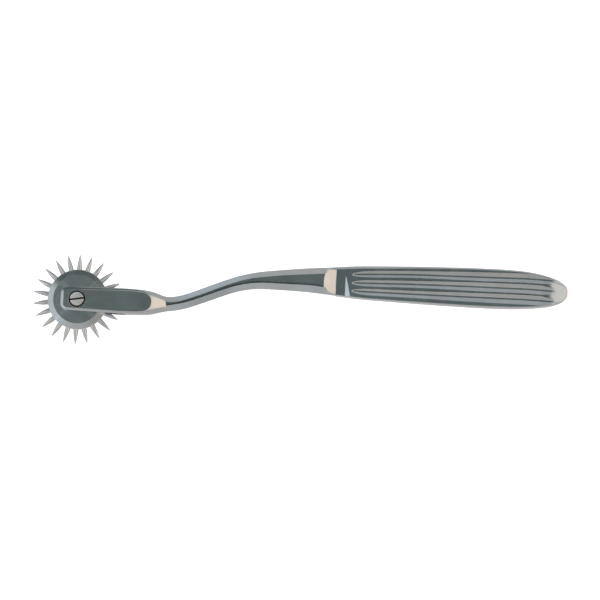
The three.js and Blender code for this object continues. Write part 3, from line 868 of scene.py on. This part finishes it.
class Nodes:
    """Short ways to add and join shader nodes."""

    def __init__(self, tree):
        self.tree = tree
        tree.nodes.clear()

    def add(self, kind, inputs=(), **settings):
        node = self.tree.nodes.new(kind)
        for key, value in settings.items():
            setattr(node, key, value)
        for key, value in dict(inputs).items():
            if isinstance(value, bpy.types.NodeSocket):
                self.tree.links.new(value, node.inputs[key])
            else:
                node.inputs[key].default_value = value
        return node

    def math(self, operation, a, b=0.0, c=0.0, clamp=False):
        node = self.add("ShaderNodeMath", {0: a, 1: b, 2: c}, operation=operation, use_clamp=clamp)
        return node.outputs[0]

    def vector_math(self, operation, a, b=(0.0, 0.0, 0.0)):
        node = self.add("ShaderNodeVectorMath", {0: a, 1: b}, operation=operation)
        return node.outputs["Value" if operation in ("LENGTH", "DOT_PRODUCT") else "Vector"]

    def ramp(self, value, low, high, to_low=0.0, to_high=1.0):
        node = self.add("ShaderNodeMapRange", {
            "Value": value, "From Min": low, "From Max": high, "To Min": to_low, "To Max": to_high,
        }, interpolation_type="SMOOTHSTEP")
        return node.outputs["Result"]

    def band(self, value, rise, fall):
        """1 where a value is past both ranges, which run towards each other."""
        return self.math("MULTIPLY", self.ramp(value, *rise), self.ramp(value, *fall))

    def noise(self, vector, scale, detail, roughness):
        node = self.add("ShaderNodeTexNoise", {
            "Vector": vector, "Scale": scale, "Detail": detail, "Roughness": roughness,
        })
        return node.outputs["Fac"]

    def mix(self, factor, a, b, blend="MIX"):
        inputs = {"Factor": factor, 6: a, 7: b}  # 6 and 7 are the node's two colours
        node = self.add("ShaderNodeMix", inputs, data_type="RGBA", blend_type=blend)
        return node.outputs[2]

    def split(self, vector):
        return self.add("ShaderNodeSeparateXYZ", {"Vector": vector}).outputs

    def place_in_part(self):
        return self.add("ShaderNodeTexCoord").outputs["Object"]

    def place_from_axle(self):
        return self.vector_math("SUBTRACT", self.place_in_part(), tuple(AXLE))


def grind_vector(nodes, pattern):
    """Coordinates in which the noise is drawn out along the grinding marks."""
    if pattern == "lengthwise":
        return nodes.add("ShaderNodeMapping", {
            "Vector": nodes.place_in_part(), "Scale": (LENGTHWISE_STRETCH, 1.0, 1.0),
        }).outputs[0]
    from_axle = nodes.place_from_axle()
    if pattern == "brushed":
        return nodes.add("ShaderNodeMapping", {
            "Vector": from_axle, "Rotation": (0.0, 0.0, BRUSHED_TURN),
            "Scale": (BRUSHED_STRETCH, 1.0, 1.0),
        }).outputs[0]
    x, y, z = nodes.split(from_axle)
    squares = nodes.math("ADD", nodes.math("MULTIPLY", x, x), nodes.math("MULTIPLY", y, y))
    round_axle = nodes.math("MULTIPLY", nodes.math("ARCTAN2", y, x), TURNED_STRETCH)
    turned = {"X": nodes.math("SQRT", squares), "Y": round_axle, "Z": z}
    return nodes.add("ShaderNodeCombineXYZ", turned).outputs[0]


def recess_shade(nodes, reach, level):
    """1 in the open, 0 where shade is painted round the axle below a level, in mm."""
    from_axle = nodes.place_from_axle()
    flat = nodes.vector_math("MULTIPLY", from_axle, (1.0, 1.0, 0.0))
    distance = nodes.vector_math("LENGTH", flat)
    far = nodes.ramp(distance, reach * MM, (reach + PAINTED_SHADE_EDGE) * MM)
    high = nodes.ramp(nodes.split(from_axle)[2], *((level - fade) * MM for fade in PAINTED_SHADE_FADE))
    return nodes.math("MAXIMUM", far, high)


def steel_colour(nodes, colour, smears, wear, recess):
    """Tint with faint smears, brighter worn edges, and painted shade in a recess round the axle."""
    shade = nodes.ramp(smears, *SMEAR_SHADE_RANGE, *SMEAR_SHADES)
    grey = nodes.add("ShaderNodeCombineColor", {0: shade, 1: shade, 2: shade}).outputs[0]
    tinted = nodes.mix(1.0, rgb(*colour), grey, "MULTIPLY")
    edges = nodes.add("ShaderNodeNewGeometry").outputs["Pointiness"]
    worn = nodes.math("MULTIPLY", nodes.ramp(edges, *WORN_EDGES), wear)
    base = nodes.mix(worn, tinted, WORN_STEEL)
    if recess:
        # Painted shade: the recess round the axle turns near black.
        base = nodes.mix(recess_shade(nodes, *recess), RECESS_PAINTED_SHADE, base)
    return base


def steel_roughness(nodes, plain, marks, scratches, smears):
    """Roughness that varies with the grinding marks, scratches and smears."""
    low, high = (share * plain for share in MARK_ROUGHNESS)
    rough = nodes.math("ADD", plain, nodes.ramp(marks, *MARK_RANGE, low, high))
    rough = nodes.math("ADD", rough, nodes.math("MULTIPLY", scratches, SCRATCH_ROUGHNESS))
    smeared = nodes.ramp(smears, *SMEAR_ROUGH_RANGE, *SMEAR_ROUGHNESS)
    return nodes.math("ADD", rough, smeared, clamp=True)


def steel(name, colour, roughness, grind, pattern="lengthwise", marks_per_mm=9.0, wear=0.5, recess=None):
    """Polished stainless steel with fine grinding marks, faint smears, brighter worn edges and, given a
    recess, painted shade round the axle.
    """
    material = bpy.data.materials.new(name)
    material.use_nodes = True
    nodes = Nodes(material.node_tree)
    along = grind_vector(nodes, pattern)
    marks = nodes.noise(along, marks_per_mm / MM, *MARK_NOISE)
    scratch_noise = nodes.noise(along, SCRATCHES_PER_MARK * marks_per_mm / MM, *SCRATCH_NOISE)
    scratches = nodes.ramp(scratch_noise, *SCRATCH_RANGE)
    smears = nodes.noise(nodes.place_in_part(), SMEARS_PER_MM / MM, *SMEAR_NOISE)
    height = nodes.math("ADD", marks, nodes.math("MULTIPLY", scratches, SCRATCH_DEPTH))
    bump = nodes.add("ShaderNodeBump", {"Height": height, "Strength": grind, "Distance": MARK_HEIGHT})
    shader = nodes.add("ShaderNodeBsdfPrincipled", {
        "Base Color": steel_colour(nodes, colour, smears, wear, recess),
        "Metallic": 1.0,
        "Roughness": steel_roughness(nodes, roughness, marks, scratches, smears),
        "Normal": bump.outputs[0],
    })
    nodes.add("ShaderNodeOutputMaterial", {"Surface": shader.outputs[0]})
    return material


# ---- Assembly ----

materials = {slot: steel(slot, **finish) for slot, finish in FINISHES.items()}


def finish_piece(piece, body, slot, node):
    """Puts a piece on its CAD body, hides the CAD node it stands for, and gives it its material."""
    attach(piece, body)
    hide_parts(node)
    piece.data.materials.clear()
    piece.data.materials.append(materials[slot])


def build_handle():
    finish_piece(make_fork(), "handle", "forged_steel", "fork_shank")
    finish_piece(make_shell("handle_shell_front", 1), "handle", "handle_steel", "handle_front_shell")
    finish_piece(make_shell("handle_shell_back", -1), "handle", "handle_steel", "handle_back_shell")
    finish_piece(make_screw(), "handle", "screw_steel", "axle_screw")


def build_wheel():
    finish_piece(make_disc(), "wheel", "disc_steel", "wheel_disc")
    for number in range(1, NEEDLE_COUNT + 1):
        node = f"needle_{number:02d}"
        finish_piece(make_needle(number, needle_angle(node)), "wheel", "needle_steel", node)


# ---- Studio ----

def make_table():
    """A pale table top that shows no reflection of its own in the steel."""
    corners = [
        (x * TABLE_REACH, y * TABLE_REACH, TABLE_HEIGHT)
        for x, y in ((-1, -1), (1, -1), (1, 1), (-1, 1))
    ]
    mesh = bpy.data.meshes.new("table_top")
    mesh.from_pydata(corners, [], [(0, 1, 2, 3)])
    table = add_object("table_top", mesh)
    material = bpy.data.materials.new("pale_table")
    material.use_nodes = True
    nodes = Nodes(material.node_tree)
    shader = nodes.add("ShaderNodeBsdfPrincipled", {
        "Base Color": TABLE_GREY, "Roughness": TABLE_ROUGHNESS,
        "Emission Color": WHITE, "Emission Strength": TABLE_GLOW,
    })
    nodes.add("ShaderNodeOutputMaterial", {"Surface": shader.outputs[0]})
    table.data.materials.append(material)
    table.visible_glossy = False


def horizon_tone(nodes, ray, x):
    """Dark towards the upper side, bright towards the lower left, and warm at the butt's end."""
    bright = nodes.mix(nodes.ramp(x, *LEFT_CHANGE), BRIGHT_HORIZON, BRIGHT_LEFT_HORIZON)
    towards_lit = nodes.vector_math("DOT_PRODUCT", ray, LIT_DIRECTION)
    horizon = nodes.mix(nodes.ramp(towards_lit, *LIT_RANGE), DARK_HORIZON, bright)
    return nodes.mix(nodes.ramp(x, *WARM_HORIZON_START), horizon, WARM_HORIZON)


def cream_ends(nodes, x, y, z):
    """1 in the two warm panels, at the left and right end of the tent."""
    ends = nodes.math("ADD", nodes.band(x, *CREAM_LEFT), nodes.band(x, *CREAM_RIGHT))
    off_middle = nodes.math("ABSOLUTE", nodes.math("SUBTRACT", y, CREAM_MIDDLE_Y))
    ends = nodes.math("MULTIPLY", ends, nodes.ramp(off_middle, *CREAM_REACH_Y))
    return nodes.math("MULTIPLY", ends, nodes.ramp(z, *CREAM_HEIGHT))


def ellipse_reach(nodes, x, y, half_x, half_y, middle_y):
    """1 on the edge of an ellipse overhead, less inside it."""
    across = nodes.math("MULTIPLY", x, 1 / half_x)
    up = nodes.math("MULTIPLY", nodes.math("SUBTRACT", y, middle_y), 1 / half_y)
    squares = nodes.math("ADD", nodes.math("MULTIPLY", across, across), nodes.math("MULTIPLY", up, up))
    return nodes.math("SQRT", squares)


def ring_tone(nodes, x, y):
    """Cool light on the ring's left and upper side, black on the lower, and pale at the right."""
    cool = nodes.mix(nodes.ramp(x, *RING_LEFT_CHANGE), RING_UPPER, RING_LEFT)
    flat = nodes.add("ShaderNodeCombineXYZ", {"X": x, "Y": y}).outputs[0]
    towards_black = nodes.vector_math("DOT_PRODUCT", flat, RING_BLACK_DIRECTION)
    tone = nodes.mix(nodes.ramp(towards_black, *RING_BLACK_RANGE), cool, RING_BLACK)
    return nodes.mix(nodes.ramp(x, *PALE_START), tone, PALE)


def with_opening(nodes, tent, x, y, z):
    """The tent with the dark opening overhead and the ring of light round it."""
    overhead = nodes.ramp(z, *OVERHEAD)
    ring = nodes.ramp(ellipse_reach(nodes, x, y, *RING), *RING_EDGE)
    tent = nodes.mix(nodes.math("MULTIPLY", ring, overhead), tent, ring_tone(nodes, x, y))
    opening = nodes.ramp(ellipse_reach(nodes, x, y, *OPENING), *OPENING_EDGE)
    dark = nodes.mix(nodes.ramp(x, *OPENING_CHANGE), OPENING_LEFT, OPENING_RIGHT)
    return nodes.mix(nodes.math("MULTIPLY", opening, overhead), tent, dark)


def table_tone(nodes, side, x):
    """What the steel mirrors below the horizon: grey, cool on the left and warm on the right."""
    tone = nodes.mix(side, TABLE_LOWER, TABLE_UPPER)
    tone = nodes.mix(nodes.band(x, *TABLE_COOL_PART), tone, TABLE_COOL)
    return nodes.mix(nodes.ramp(x, *TABLE_WARM_START), tone, TABLE_WARM)


def make_world():
    """A light tent that only the steel mirrors; the camera sees plain white."""
    world = bpy.data.worlds.new("light_tent")
    bpy.context.scene.world = world
    world.use_nodes = True
    nodes = Nodes(world.node_tree)
    ray = nodes.add("ShaderNodeTexCoord").outputs["Generated"]
    x, y, z = nodes.split(ray)
    side = nodes.ramp(y, *SIDE_CHANGE)
    wall = nodes.mix(side, LOWER_WALL, UPPER_WALL)
    tent = nodes.mix(nodes.ramp(z, *WALL_FOOT), horizon_tone(nodes, ray, x), wall)
    pale = nodes.math("MULTIPLY", nodes.ramp(x, *PALE_START), nodes.ramp(z, *PALE_HEIGHT))
    tent = nodes.mix(pale, tent, PALE)
    tent = nodes.mix(cream_ends(nodes, x, y, z), tent, CREAM)
    tent = with_opening(nodes, tent, x, y, z)
    tent = nodes.mix(nodes.ramp(z, *TABLE_TOP), table_tone(nodes, side, x), tent)
    seen = nodes.add("ShaderNodeLightPath").outputs["Is Camera Ray"]
    colour = nodes.mix(seen, tent, WHITE)
    background = nodes.add("ShaderNodeBackground", {"Color": colour, "Strength": 1.0})
    nodes.add("ShaderNodeOutputWorld", {"Surface": background.outputs[0]})


def make_table_light():
    """Soft overhead light that only the table and other matt things take in."""
    light = bpy.data.lights.new("overhead_softbox", "AREA")
    light.shape = "SQUARE"
    light.size = LAMP_SIZE
    light.energy = LAMP_WATTS
    lamp = add_object("overhead_softbox", light)
    lamp.location = (0.0, 0.0, LAMP_HEIGHT)
    lamp.visible_glossy = False


def make_camera():
    """Long lens straight over the tool, a little towards its lower side, turned with the tool."""
    camera = bpy.data.cameras.new("camera")
    camera.lens = camera.sensor_width * CAMERA_DISTANCE / CAMERA_VIEW_WIDTH
    obj = add_object("camera", camera)
    turn = Euler((CAMERA_TILT, 0.0, CAMERA_TURN)).to_matrix()
    obj.location = Vector(place(CAMERA_TARGET)) + turn @ Vector((0.0, 0.0, CAMERA_DISTANCE))
    obj.rotation_euler = turn.to_euler()
    bpy.context.scene.camera = obj


build_handle()
build_wheel()
make_table()
make_world()
make_table_light()
make_camera()
bpy.context.scene.view_settings.view_transform = "Standard"
